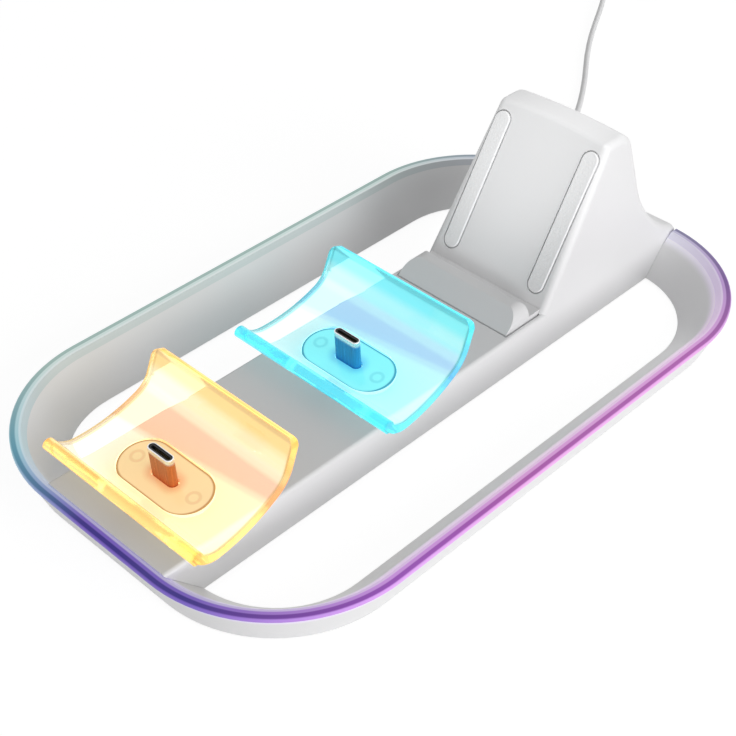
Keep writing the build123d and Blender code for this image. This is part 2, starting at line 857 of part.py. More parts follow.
# Control board on its posts in the stand's hollow
board_floor = plate_top + post_height
board_top = board_floor + board_thick
with BuildPart() as control_board:
    with BuildSketch(Plane.XY.offset(board_floor)):
        with Locations((board_middle, 0)):
            Rectangle(board_length, board_width)
    extrude(amount=board_thick)
    with BuildSketch(Plane.XY.offset(board_top)):
        with Locations((board_middle, 0)):
            Rectangle(chip_size, chip_size)
    extrude(amount=chip_height)
    with BuildSketch(Plane.XY.offset(board_top)):
        with Locations((board_middle, -chip_size), (board_middle, chip_size)):
            Circle(can_diameter / 2)
    extrude(amount=can_height)
    with BuildSketch(Plane.XY.offset(board_top)):
        with Locations((board_front + board_length - socket_width, 0)):
            Rectangle(socket_width, socket_length)
    extrude(amount=socket_height)
keep(control_board.part, "control_board")

# Sleeve where the cord leaves the ring
with BuildPart() as strain_relief:
    with BuildSketch(Plane.XZ.offset(-relief_offset)):
        with BuildLine():
            Polyline(
                (relief_root, relief_height),
                (relief_root, relief_height + relief_flange / 2),
                (relief_root + relief_flange_thick, relief_height + relief_flange / 2),
                (relief_root + relief_flange_thick, relief_height + relief_neck / 2),
                (relief_shoulder, relief_height + relief_neck / 2),
                (relief_shoulder, relief_height + relief_wide / 2),
                (relief_end, relief_height + relief_narrow / 2),
                (relief_end, relief_height),
                close=True,
            )
        make_face()
    revolve(axis=Axis((0, relief_offset, relief_height), (1, 0, 0)))
keep(strain_relief.part, "strain_relief")


def bend_radii(points: list[Vector]) -> list[float]:
    """Radius of the bend at each inner point of a route, from its runs and its turn."""
    radii = []
    for before, corner, after in zip(points, points[1:], points[2:]):
        arrive = corner - before
        leave = after - corner
        turn = radians(arrive.get_angle(leave))
        radii.append(0.45 * min(arrive.length, leave.length) / tan(turn / 2))
    return radii


def make_cord(points: list[Vector], label: str) -> Part:
    """Sweep the round cord along a route of straight runs and tangent arcs.

    Args:
        points: the corners of the route, ends included.
        label: name for the line that prints the bends and volumes.

    Returns:
        The cord.
    """
    radii = bend_radii(points)
    with BuildPart() as cord:
        with BuildLine():
            route = FilletPolyline(*points, radius=radii)
        with BuildSketch(Plane(origin=route @ 0, z_dir=route % 0)):
            Circle(cord_diameter / 2)
        sweep()
    section = pi * cord_diameter**2 / 4
    bends = ", ".join(f"{radius:.1f}" for radius in radii)
    print(f"{label}: {route.length:.1f} long, bends {bends}, volume ratio",
          f"{cord.part.volume / section / route.length:.4f}")
    return cord.part


# Coil of the put-away cord, lying on its tie
coil_lift = tie_thick + tie_slack
coil_height = cord_diameter + (coil_layers - 1) * coil_pitch
coil_width = cord_diameter + (coil_columns - 1) * coil_pitch
coil_outer_turn = coil_middle + (coil_columns - 1) * coil_pitch / 2
entry_way = Vector(cos(radians(coil_entry)), sin(radians(coil_entry)), 0)
entry_touch = Vector(
    coil_centre[0] - coil_outer_turn * entry_way.Y,
    coil_centre[1] + coil_outer_turn * entry_way.X,
    coil_lift + cord_diameter / 2,
)
entry_end = entry_touch - entry_way * coil_lead
exit_touch = Vector(
    coil_centre[0] + coil_outer_turn, coil_centre[1], coil_lift + coil_height - cord_diameter / 2
)
exit_end = exit_touch - (0, coil_lead, 0)
coil_axis = Axis((*coil_centre, 0), (0, 0, 1))
with BuildPart() as cord_coil:
    with BuildSketch(Plane(origin=(*coil_centre, 0), x_dir=(1, 0, 0), z_dir=(0, -1, 0))):
        with Locations((coil_middle, coil_lift + coil_height / 2)):
            RectangleRounded(coil_width, coil_height, coil_round)
    revolve(axis=coil_axis)
    with BuildSketch(Plane(origin=entry_end, z_dir=entry_way)):
        Circle(cord_diameter / 2)
    extrude(amount=coil_lead)
    with BuildSketch(Plane(origin=exit_end, z_dir=(0, 1, 0))):
        Circle(cord_diameter / 2)
    extrude(amount=coil_lead)
keep(cord_coil.part, "cord_coil")

tie_way = Vector(cos(radians(tie_angle)), sin(radians(tie_angle)), 0)
tie_plane = Plane(origin=(*coil_centre, 0), x_dir=tie_way, z_dir=(tie_way.Y, -tie_way.X, 0))
with BuildPart() as cord_tie:
    with BuildSketch(tie_plane):
        with Locations((coil_middle, coil_lift + coil_height / 2)):
            RectangleRounded(
                coil_width + 2 * coil_lift, coil_height + 2 * coil_lift, coil_round + tie_thick
            )
            RectangleRounded(
                coil_width + 2 * tie_slack, coil_height + 2 * tie_slack, coil_round, mode=Mode.SUBTRACT
            )
    extrude(amount=tie_width / 2, both=True)
keep(cord_tie.part, "cord_tie")

# The lead from the ring to the coil, and its tail from the coil to the plug
lead_points = [Vector(*point) for point in cord_route]
lead_points += [entry_end - entry_way * cord_approach, entry_end]
keep(make_cord(lead_points, "power_cord"), "power_cord")
plug_end = Vector(exit_end.X + tail_shift, exit_end.Y - tail_length, usb_body_height / 2)
tail_points = [exit_end, exit_end - (0, tail_run, 0), plug_end + (0, tail_run, 0), plug_end]
keep(make_cord(tail_points, "cord_tail"), "cord_tail")

# Flat plug at the far end, lying beside the coil
usb_body_start = plug_end.Y - usb_neck_length
usb_face = usb_body_start - usb_body_length
usb_axis_plane = Plane(origin=(plug_end.X, 0, plug_end.Z), x_dir=(1, 0, 0), z_dir=(0, -1, 0))
with BuildPart() as usb_plug_body:
    with BuildSketch(usb_axis_plane.offset(-usb_body_start)):
        RectangleRounded(usb_body_width, usb_body_height, usb_body_round)
    extrude(amount=usb_body_length)
    with BuildSketch(usb_axis_plane.offset(-plug_end.Y)):
        Circle(usb_neck_diameter / 2)
    extrude(amount=usb_neck_length)
keep(usb_plug_body.part, "usb_plug_body")

with BuildPart() as usb_plug_shell:
    with BuildSketch(usb_axis_plane.offset(-usb_face)):
        RectangleRounded(usb_shell_width, usb_shell_height, usb_shell_round)
        Rectangle(
            usb_shell_width - 2 * usb_shell_wall, usb_shell_height - 2 * usb_shell_wall, mode=Mode.SUBTRACT
        )
    extrude(amount=usb_shell_length)
    with BuildSketch(Plane.XY.offset(plug_end.Z)):
        with Locations((plug_end.X, usb_face - usb_window_inset)):
            with GridLocations(usb_window_spacing, 1, 2, 1):
                Rectangle(usb_window, usb_window)
    extrude(amount=usb_shell_height, both=True, mode=Mode.SUBTRACT)
keep(usb_plug_shell.part, "usb_plug_shell")

insert_top = usb_shell_height / 2 - usb_shell_wall
with BuildPart() as usb_plug_insert:
    with BuildSketch(usb_axis_plane.offset(-usb_face)):
        with Locations((0, insert_top)):
            Rectangle(
                usb_shell_width - 2 * usb_shell_wall, usb_insert_height, align=(Align.CENTER, Align.MAX)
            )
    extrude(amount=usb_shell_length - usb_insert_inset)
keep(usb_plug_insert.part, "usb_plug_insert")
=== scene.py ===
"""Looks of the controller charging dock: its finishes, its lead, its contacts and the studio."""
import logging
import math
from dataclasses import dataclass
from enum import Enum
from functools import cache
from typing import Any

import bpy
from mathutils import Matrix, Vector


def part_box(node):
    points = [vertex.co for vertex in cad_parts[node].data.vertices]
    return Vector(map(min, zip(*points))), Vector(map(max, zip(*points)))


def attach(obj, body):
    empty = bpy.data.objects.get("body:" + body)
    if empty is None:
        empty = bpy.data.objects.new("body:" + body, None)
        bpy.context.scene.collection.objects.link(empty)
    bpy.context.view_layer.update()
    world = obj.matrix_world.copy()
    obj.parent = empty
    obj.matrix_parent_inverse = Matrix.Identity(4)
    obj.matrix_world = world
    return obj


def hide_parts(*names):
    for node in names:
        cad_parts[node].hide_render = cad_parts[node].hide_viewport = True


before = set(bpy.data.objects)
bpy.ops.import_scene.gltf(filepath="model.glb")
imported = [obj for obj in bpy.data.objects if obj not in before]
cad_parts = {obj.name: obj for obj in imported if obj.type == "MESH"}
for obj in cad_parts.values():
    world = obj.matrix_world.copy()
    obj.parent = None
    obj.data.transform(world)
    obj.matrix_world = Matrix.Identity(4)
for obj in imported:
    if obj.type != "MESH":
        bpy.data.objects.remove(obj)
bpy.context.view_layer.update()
LOG = logging.getLogger("dock")
MM = 0.001
BODY = "root"
Colour = tuple[float, float, float]
Point = tuple[float, float, float]
Stops = tuple[tuple[float, Colour], ...]
Socket = bpy.types.NodeSocket
Tree = bpy.types.NodeTree
Material = bpy.types.Material
BLACK: Colour = (0.0, 0.0, 0.0)
FULL: Colour = (1.0, 1.0, 1.0)


class Graph:
    """A node tree with short ways to add nodes and join them."""

    def __init__(self, tree: Tree) -> None:
        """Take the tree to work on."""
        self.tree = tree

    def add(
        self, kind: str, inputs: dict[Any, Any] | None = None, **settings: Any
    ) -> bpy.types.Node:
        """Add one node.

        Args:
            kind: Blender's name of the node type.
            inputs: values or sockets for its inputs, by name or number.
            settings: the node's own properties.

        Returns:
            The node.
        """
        node = self.tree.nodes.new(kind)
        for name, value in settings.items():
            setattr(node, name, value)
        for key, value in (inputs or {}).items():
            socket = node.inputs[key]
            if isinstance(value, Socket):
                self.tree.links.new(value, socket)
            else:
                socket.default_value = (*value, 1.0) if socket.type == "RGBA" else value
        return node

    def math(self, operation: str, *values: Any) -> Socket:
        """Add a Math node and return its result."""
        node = self.add("ShaderNodeMath", dict(enumerate(values)), operation=operation)
        return node.outputs[0]

    def blend(self, share: Any, low: Any, high: Any) -> Socket:
        """Mix two colours by a share and return the result."""
        node = self.add("ShaderNodeMix", {0: share, 6: low, 7: high}, data_type="RGBA")
        return node.outputs[2]

    def spread(self, value: Any, low: float, high: float) -> Socket:
        """Map a value from 0 to 1 onto a range and return the result."""
        node = self.add("ShaderNodeMapRange", {0: value, 3: low, 4: high})
        return node.outputs[0]

    def step(self, value: Any, start: float, end: float) -> Socket:
        """Rise smoothly from 0 to 1 between two values and return the result."""
        node = self.add(
            "ShaderNodeMapRange", {0: value, 1: start, 2: end}, interpolation_type="SMOOTHSTEP"
        )
        return node.outputs[0]

    def edge(self, value: Any, place: float, soft: float) -> Socket:
        """Rise from 0 to 1 at a place, softened on both sides of it, and return the result."""
        return self.step(value, place - soft, place + soft)

    def around(self, value: Any, middle: float, reach: float) -> Socket:
        """Map a value from 0 to 1 onto a range round a middle and return the result."""
        return self.spread(value, middle - reach, middle + reach)

    def layers(self, base: Any, *layers: tuple[Socket, Any]) -> Socket:
        """Lay colours over a base, each by its share, and return the result."""
        for share, colour in layers:
            base = self.blend(share, base, colour)
        return base

    def by_sight(self, unseen: bpy.types.Node, shown: bpy.types.Node) -> Socket:
        """Give one shader to the rays that show a surface, and another to the rest.

        Args:
            unseen: the shader for the rest.
            shown: the shader for camera, glossy and transmission rays.

        Returns:
            The mixed shader.
        """
        path = self.add("ShaderNodeLightPath").outputs
        seen = self.math("MAXIMUM", path["Is Camera Ray"], path["Is Glossy Ray"])
        seen = self.math("MAXIMUM", seen, path["Is Transmission Ray"])
        mixed = self.add("ShaderNodeMixShader", {0: seen, 1: unseen.outputs[0], 2: shown.outputs[0]})
        return mixed.outputs[0]

    def spot(self) -> Socket:
        """Return the place on the piece."""
        return self.add("ShaderNodeTexCoord").outputs["Object"]

    def axes(self) -> Any:
        """Return the place on the piece as sockets X, Y and Z."""
        return self.add("ShaderNodeSeparateXYZ", {0: self.spot()}).outputs

    def bump(self, strength: float, distance: float, height: Any) -> Socket:
        """Turn a height into a normal and return it."""
        node = self.add("ShaderNodeBump", {"Strength": strength, "Distance": distance, "Height": height})
        return node.outputs[0]

    def vector(self, **parts: Any) -> Socket:
        """Join the parts X, Y and Z into a vector and return it."""
        return self.add("ShaderNodeCombineXYZ", parts).outputs[0]

    def ramp(self, way: Socket, stops: Stops) -> Socket:
        """Run a value through a row of colours.

        Args:
            way: the value, from 0 to 1.
            stops: places along it and their colours.

        Returns:
            The colour.
        """
        node = self.add("ShaderNodeValToRGB", {0: way})
        elements = node.color_ramp.elements
        while len(elements) < len(stops):
            elements.new(0.5)
        for element, (place, colour) in zip(elements, stops):
            element.position = place
            element.color = (*colour, 1.0)
        return node.outputs[0]


def dim(colour: Colour, share: float) -> Colour:
    """Darken a colour to a share of itself."""
    return tuple(value * share for value in colour)


def srgb(red: int, green: int, blue: int) -> Colour:
    """Turn screen values into a linear colour.

    Args:
        red: the red value, from 0 to 255.
        green: the green value.
        blue: the blue value.

    Returns:
        The linear colour.
    """
    shares = (value / 255 for value in (red, green, blue))
    return tuple(
        share / 12.92 if share <= 0.04045 else ((share + 0.055) / 1.055) ** 2.4 for share in shares
    )


class Effect(Enum):
    """Shader groups that several finishes share."""

    GRAIN = "moulded_grain"
    OUTLINE = "rounded_outline"


class EffectShelf:
    """Builds each shared shader group once and keeps it."""

    @cache
    def get(self, effect: Effect) -> Tree:
        """Return a group's tree, built the first time it is asked for."""
        makers = {Effect.GRAIN: self.grain, Effect.OUTLINE: self.outline}
        return makers[effect]()

    @staticmethod
    def start(effect: Effect, inputs: list[str], outputs: list[str]) -> tuple[Graph, Any]:
        """Start a group with float sockets.

        Args:
            effect: which group it is.
            inputs: names of its inputs.
            outputs: names of its outputs.

        Returns:
            The graph and the sockets that it is given.
        """
        tree = bpy.data.node_groups.new(effect.value, "ShaderNodeTree")
        for name in inputs:
            tree.interface.new_socket(name, in_out="INPUT", socket_type="NodeSocketFloat")
        for name in outputs:
            tree.interface.new_socket(name, in_out="OUTPUT", socket_type="NodeSocketFloat")
        graph = Graph(tree)
        return graph, graph.add("NodeGroupInput").outputs

    def grain(self) -> Tree:
        """Build fine eroded grain and a slow cloud, as on moulded plastic and rubber.

        Returns:
            The group's tree.
        """
        graph, given = self.start(Effect.GRAIN, ["Grain Scale", "Cloud Scale"], ["Grain", "Cloud"])
        place = graph.spot()
        fine = graph.add(
            "ShaderNodeTexNoise",
            {"Vector": place, "Scale": given["Grain Scale"], "Detail": 2.0, "Roughness": 0.6},
        )
        slow = graph.add(
            "ShaderNodeTexNoise", {"Vector": place, "Scale": given["Cloud Scale"], "Detail": 3.0}
        )
        graph.add("NodeGroupOutput", {"Grain": fine.outputs[0], "Cloud": slow.outputs[0]})
        return graph.tree

    def outline(self) -> Tree:
        """Build the way round a rounded outline from 0 to 1, and the depth inwards from it in metres.

        Returns:
            The group's tree.
        """
        graph, given = self.start(
            Effect.OUTLINE, ["Centre X", "Straight X", "Straight Y", "Corner"], ["Way", "Depth"]
        )
        spot = graph.axes()
        along = graph.math("SUBTRACT", spot["X"], given["Centre X"])
        across = spot["Y"]
        angle = graph.math("ARCTAN2", across, along)
        way = graph.math("FRACT", graph.math("DIVIDE", angle, 2 * math.pi))
        over_x = graph.math("SUBTRACT", graph.math("ABSOLUTE", along), given["Straight X"])
        over_y = graph.math("SUBTRACT", graph.math("ABSOLUTE", across), given["Straight Y"])
        out_x = graph.math("MAXIMUM", over_x, 0.0)
        out_y = graph.math("MAXIMUM", over_y, 0.0)
        square = graph.math("MULTIPLY_ADD", out_x, out_x, graph.math("MULTIPLY", out_y, out_y))
        inside = graph.math("MINIMUM", graph.math("MAXIMUM", over_x, over_y), 0.0)
        reach = graph.math("ADD", graph.math("SQRT", square), inside)
        depth = graph.math("SUBTRACT", given["Corner"], reach)
        graph.add("NodeGroupOutput", {"Way": way, "Depth": depth})
        return graph.tree


EFFECTS = EffectShelf()


@dataclass(frozen=True)
class Finish:
    """A finish with a name; each kind says how its material is built."""

    name: str

    @staticmethod
    def surface(graph: Graph, inputs: dict[str, Any]) -> None:
        """End a material with one shader.

        Args:
            graph: the material's graph.
            inputs: the shader's inputs by name.
        """
        shader = graph.add("ShaderNodeBsdfPrincipled", inputs)
        graph.add("ShaderNodeOutputMaterial", {"Surface": shader.outputs[0]})

    @staticmethod
    def group(graph: Graph, effect: Effect, values: dict[str, float]) -> Any:
        """Place a shared group, set its inputs and return its sockets."""
        return graph.add("ShaderNodeGroup", values, node_tree=EFFECTS.get(effect)).outputs

    @staticmethod
    def streaks(graph: Graph, stretch: Point, scale: float) -> Socket:
        """Draw the fine lines of drawn metal.

        Args:
            graph: the material's graph.
            stretch: the scale along each axis; the lines run along the smallest.
            scale: how fine the lines are.

        Returns:
            The lines, from 0 to 1.
        """
        place = graph.spot()
        drawn = graph.add("ShaderNodeMapping", {"Vector": place, "Scale": stretch}).outputs[0]
        return graph.add("ShaderNodeTexNoise", {"Vector": drawn, "Scale": scale, "Detail": 3.0}).outputs[0]

    def grain(self, graph: Graph, fine: float, slow: float) -> Any:
        """Place the shared grain at two scales and return its sockets."""
        return self.group(graph, Effect.GRAIN, {"Grain Scale": fine, "Cloud Scale": slow})

    def paint(self, graph: Graph) -> None:
        """Build the material's nodes in its graph."""
        raise NotImplementedError

    @cache
    def material(self) -> Material:
        """Build the material the first time it is asked for.

        Returns:
            The material.
        """
        material = bpy.data.materials.new(self.name)
        material.use_nodes = True
        material.node_tree.nodes.clear()
        self.paint(Graph(material.node_tree))
        return material

    def dress(self, piece: bpy.types.Object) -> None:
        """Give a piece this finish in place of what it has.

        Args:
            piece: the piece.
        """
        piece.data.materials.clear()
        piece.data.materials.append(self.material())
        LOG.info("dressed %s in %s", piece.name, self.name)


@dataclass(frozen=True)
class Moulded(Finish):
    """Opaque moulded plastic or rubber with an eroded grain."""

    colour: Colour
    roughness: float = 0.4
    grain_scale: float = 3500.0
    grain_depth: float = 0.00003
    strength: float = 0.3
    cloud_scale: float = 28.0
    cloud_depth: float = 0.03
    gloss_spread: float = 0.05

    def paint(self, graph: Graph) -> None:
        """Build a satin surface with a faint cloud in its colour and gloss.

        Args:
            graph: the material's graph.
        """
        grain = self.grain(graph, self.grain_scale, self.cloud_scale)
        low = dim(self.colour, 1 - self.cloud_depth)
        inputs = {
            "Base Color": graph.blend(grain["Cloud"], low, self.colour),
            "Roughness": graph.around(grain["Cloud"], self.roughness, self.gloss_spread),
            "Normal": graph.bump(self.strength, self.grain_depth, grain["Grain"]),
        }
        self.surface(graph, {**inputs, **self.light(graph)})

    def light(self, graph: Graph) -> dict[str, Any]:
        """Give the shader's inputs for a painted glow on the surface: none here."""
        return {}


@dataclass(frozen=True)
class LitWall(Moulded):
    """Moulded wall with the light guide's glow painted on just below it."""

    glow_stops: Stops = ()
    dark_height: float = 0.0
    lit_height: float = 0.0
    glow: float = 0.5
    glow_start: float = 0.43
    glow_full: float = 0.516

    def light(self, graph: Graph) -> dict[str, Any]:
        """Fade the painted glow downwards from the light guide.

        Args:
            graph: the material's graph.

        Returns:
            The shader's inputs.
        """
        way = self.group(graph, Effect.OUTLINE, {})["Way"]
        near_guide = graph.step(graph.axes()["Z"], self.dark_height, self.lit_height)
        lit_side = graph.step(way, self.glow_start, self.glow_full)
        share = graph.math("MULTIPLY", near_guide, lit_side)
        # Painted glow of the guide on the wall, in the band's hues.
        glow = graph.blend(share, BLACK, graph.ramp(way, self.glow_stops))
        return {"Emission Color": glow, "Emission Strength": self.glow}


class Tint(Enum):
    """The two tints of the troughs."""

    AMBER = "amber"
    CYAN = "cyan"


@dataclass(frozen=True)
class TintColours:
    """Linear colours of one tint: how it dyes, the tints of its faces with painted shade deepening them,
    the painted glow in each zone, and the plug's colour painted as a reflection.
    """

    dye: Colour
    clear: Colour
    # Tints painted deeper as shade: on the back wall, at the lips and at the ends.
    back_shade_tint: Colour
    lip_shade_tint: Colour
    end_shade_tint: Colour
    # Painted glow, zone by zone: at the lips, over the floor, on the far half, over the band in shade,
    # along the bend as a painted highlight, and on the back.
    lip: Colour
    floor: Colour
    far: Colour
    shade: Colour
    line: Colour
    back: Colour
    shadow: Colour
    shade_start: float
    pad: Colour
    # Painted shade at the pad's edge, and the plug's colour painted as a reflection on the pad and the
    # lower sleeve.
    pad_edge: Colour
    plug: Colour


# Per tint, the deeper tints are painted shade, the zone colours from the lips to the back are painted glow,
# and the plug colour is a painted reflection.
TINTS: dict[Tint, TintColours] = {
    Tint.AMBER: TintColours(
        dye=(0.98, 0.79, 0.03),
        clear=(0.995, 0.93, 0.72),
        back_shade_tint=(0.99, 0.87, 0.58),
        lip_shade_tint=(0.97, 0.75, 0.40),
        end_shade_tint=(0.85, 0.55, 0.18),
        lip=(0.10, 0.06, 0.03),
        floor=(0.30, 0.29, 0.19),
        far=(0.30, 0.30, 0.28),
        shade=(0.26, 0.11, 0.08),
        line=(0.30, 0.33, 0.26),
        back=(0.28, 0.17, 0.03),
        shadow=(1.0, 0.985, 0.96),
        shade_start=0.0074,
        pad=srgb(252, 218, 160),
        pad_edge=srgb(188, 138, 80),
        plug=srgb(226, 128, 66),
    ),
    Tint.CYAN: TintColours(
        dye=(0.03, 0.94, 0.98),
        clear=(0.72, 0.98, 0.99),
        back_shade_tint=(0.42, 0.95, 0.98),
        lip_shade_tint=(0.20, 0.70, 0.76),
        end_shade_tint=(0.12, 0.55, 0.60),
        lip=(0.01, 0.07, 0.08),
        floor=(0.14, 0.25, 0.25),
        far=(0.21, 0.25, 0.25),
        shade=(0.07, 0.115, 0.225),
        line=(0.16, 0.26, 0.26),
        back=(0.02, 0.21, 0.24),
        shadow=(0.96, 0.99, 0.995),
        shade_start=0.0092,
        pad=srgb(132, 246, 252),
        pad_edge=srgb(48, 150, 178),
        plug=srgb(52, 160, 224),
    ),
}


@dataclass(frozen=True)
class ClearTint(Finish):
    """Clear tinted plastic of a trough: tinted at its faces, deeper as painted shade at its back, lips and
    ends, dyed a little, with a painted glow zone by zone.
    """

    colours: TintColours
    place_x: float
    half_length: float
    taper: float
    lip_run: float = -0.0115
    # The painted highlight along the bend runs from bend_run to line_end; the back's painted glow starts
    # there.
    bend_run: float = 0.0152
    line_end: float = 0.0170
    lip_level: float = 0.0303
    end_width: float = 0.0009
    skew: float = 0.1
    far_start: float = 0.2
    far_full: float = 0.8
    soft: float = 0.0006
    density: float = 40.0
    ior: float = 1.45
    roughness: float = 0.03
    gloss_spread: float = 0.4
    lip_roughness: float = 0.14
    grain_scale: float = 900.0
    cloud_scale: float = 60.0
    wave_strength: float = 0.05
    wave_depth: float = 0.00005

    def zones(self, graph: Graph) -> tuple[Socket, ...]:
        """Colour the trough zone by zone, from its front lip over its floor to its back.

        Args:
            graph: the material's graph.

        Returns:
            The colour of the painted glow, the tint of the faces with its painted shade, and 1 on the lips.
        """
        spot = graph.axes()
        run = graph.math("SUBTRACT", spot["X"], self.place_x)
        slant = graph.math("MULTIPLY_ADD", spot["Y"], self.skew, run)
        in_shade = graph.edge(slant, self.colours.shade_start, self.soft)
        past_bend = graph.edge(run, self.bend_run, self.soft)
        on_back = graph.edge(run, self.line_end, self.soft)
        far = graph.step(spot["Y"], self.far_start * self.half_length, self.far_full * self.half_length)
        edge = graph.math("MULTIPLY_ADD", run, -self.taper, self.half_length)
        inside = graph.math("SUBTRACT", edge, graph.math("ABSOLUTE", spot["Y"]))
        off_end = graph.step(inside, self.end_width - self.soft, self.end_width)
        at_end = graph.math("SUBTRACT", 1.0, off_end)
        at_front = graph.math("SUBTRACT", 1.0, graph.edge(run, self.lip_run, self.soft))
        at_top = graph.step(spot["Z"], self.lip_level - self.soft, self.lip_level)
        at_lip = graph.math("MAXIMUM", graph.math("MAXIMUM", at_end, at_front), at_top)
        hues = self.colours
        # Painted glow by zone; over the band in shade it is painted glow too, and along the bend a painted
        # highlight.
        light = graph.layers(
            hues.floor,
            (far, hues.far),
            (in_shade, hues.shade),
            (past_bend, hues.line),
            (on_back, hues.back),
            (at_lip, hues.lip),
        )
        # The faces' tint, painted deeper as shade on the back, the lips and the ends.
        tint = graph.layers(
            hues.clear, (on_back, hues.back_shade_tint), (at_lip, hues.lip_shade_tint), (at_end, hues.end_shade_tint)
        )
        return light, tint, at_lip

    def paint(self, graph: Graph) -> None:
        """Build a refracting surface over a dyed volume; lamps shine through it in its tint.

        Args:
            graph: the material's graph.
        """
        cloud = self.grain(graph, self.grain_scale, self.cloud_scale)["Cloud"]
        light, tint, at_lip = self.zones(graph)
        rough = graph.around(cloud, self.roughness, self.roughness * self.gloss_spread)
        shader = graph.add(
            "ShaderNodeBsdfPrincipled",
            {
                "Base Color": tint,
                "Roughness": graph.math("MULTIPLY_ADD", at_lip, self.lip_roughness, rough),
                "IOR": self.ior,
                "Transmission Weight": 1.0,
                # The painted glow of each zone is emitted from the faces.
                "Emission Color": light,
                "Emission Strength": 1.0,
                "Normal": graph.bump(self.wave_strength, self.wave_depth, cloud),
            },
        )
        clear = graph.add("ShaderNodeBsdfTransparent", {"Color": self.colours.shadow})
        path = graph.add("ShaderNodeLightPath")
        unseen = graph.math("MAXIMUM", path.outputs["Is Shadow Ray"], path.outputs["Is Diffuse Ray"])
        mixed = graph.add("ShaderNodeMixShader", {0: unseen, 1: shader.outputs[0], 2: clear.outputs[0]})
        dyed = graph.add(
            "ShaderNodeVolumeAbsorption", {"Color": self.colours.dye, "Density": self.density}
        )
        graph.add("ShaderNodeOutputMaterial", {"Surface": mixed.outputs[0], "Volume": dyed.outputs[0]})


@dataclass(frozen=True)
class OvalPad(Finish):
    """Frosted oval pad round a plug: a darker edge of painted shade, two faint pegs, the plug's colour
    painted round its foot as a reflection, and a painted glow.
    """

    colours: TintColours
    place_x: float
    length: float
    width: float
    plug_length: float
    plug_width: float
    peg_offset: float
    peg_radius: float = 0.0016
    edge_width: float = 0.0006
    # Reach and share of the plug's painted reflection round its foot.
    foot_reach: float = 0.0030
    foot_share: float = 0.5
    line_start: float = 0.0002
    line_end: float = 0.0006
    line_share: float = 0.75
    edge_spread: float = 0.4
    cloud_dim: float = 0.92
    gloss: tuple[float, float] = (0.12, 0.22)
    grain_scale: float = 1600.0
    cloud_scale: float = 120.0
    frost_strength: float = 0.15
    frost_depth: float = 0.00004
    glow: float = 0.5

    def oval(self, graph: Graph, length: float, width: float) -> Socket:
        """Measure the depth inwards from an oval across the trough.

        Args:
            graph: the material's graph.
            length: the oval's length, across the trough.
            width: its width.

        Returns:
            The depth in metres, below 0 outside.
        """
        sizes = {
            "Centre X": self.place_x,
            "Straight X": 0.0,
            "Straight Y": (length - width) / 2,
            "Corner": width / 2,
        }
        return self.group(graph, Effect.OUTLINE, sizes)["Depth"]

    def paint(self, graph: Graph) -> None:
        """Build the frosted surface, with a soft painted glow.

        Args:
            graph: the material's graph.
        """
        grain = self.grain(graph, self.grain_scale, self.cloud_scale)
        low = dim(self.colours.pad, self.cloud_dim)
        face = graph.blend(grain["Cloud"], low, self.colours.pad)
        # Painted reflection of the plug, in its colour, round the plug's foot.
        off_plug = graph.math("MULTIPLY", self.oval(graph, self.plug_length, self.plug_width), -1.0)
        plug_reflection = graph.spread(graph.step(off_plug, 0.0, self.foot_reach), self.foot_share, 0.0)
        face = graph.blend(plug_reflection, face, self.colours.plug)
        spot = graph.axes()
        along = graph.math("SUBTRACT", spot["X"], self.place_x)
        across = graph.math("SUBTRACT", graph.math("ABSOLUTE", spot["Y"]), self.peg_offset)
        square = graph.math("MULTIPLY_ADD", along, along, graph.math("MULTIPLY", across, across))
        ring = graph.math("ABSOLUTE", graph.math("SUBTRACT", graph.math("SQRT", square), self.peg_radius))
        clear_of_peg = graph.spread(graph.step(ring, self.line_start, self.line_end), self.line_share, 1.0)
        # Painted shade: the pad darkens towards its edge.
        depth = self.oval(graph, self.length, self.width)
        inner = graph.edge(depth, self.edge_width, self.edge_width * self.edge_spread)
        shown = graph.math("MULTIPLY", inner, clear_of_peg)
        colour = graph.blend(shown, self.colours.pad_edge, face)
        self.surface(
            graph,
            {
                "Base Color": colour,
                "Roughness": graph.spread(grain["Cloud"], *self.gloss),
                # Painted glow: the pad's colour is also emitted.
                "Emission Color": colour,
                "Emission Strength": self.glow,
                "Normal": graph.bump(self.frost_strength, self.frost_depth, grain["Grain"]),
            },
        )


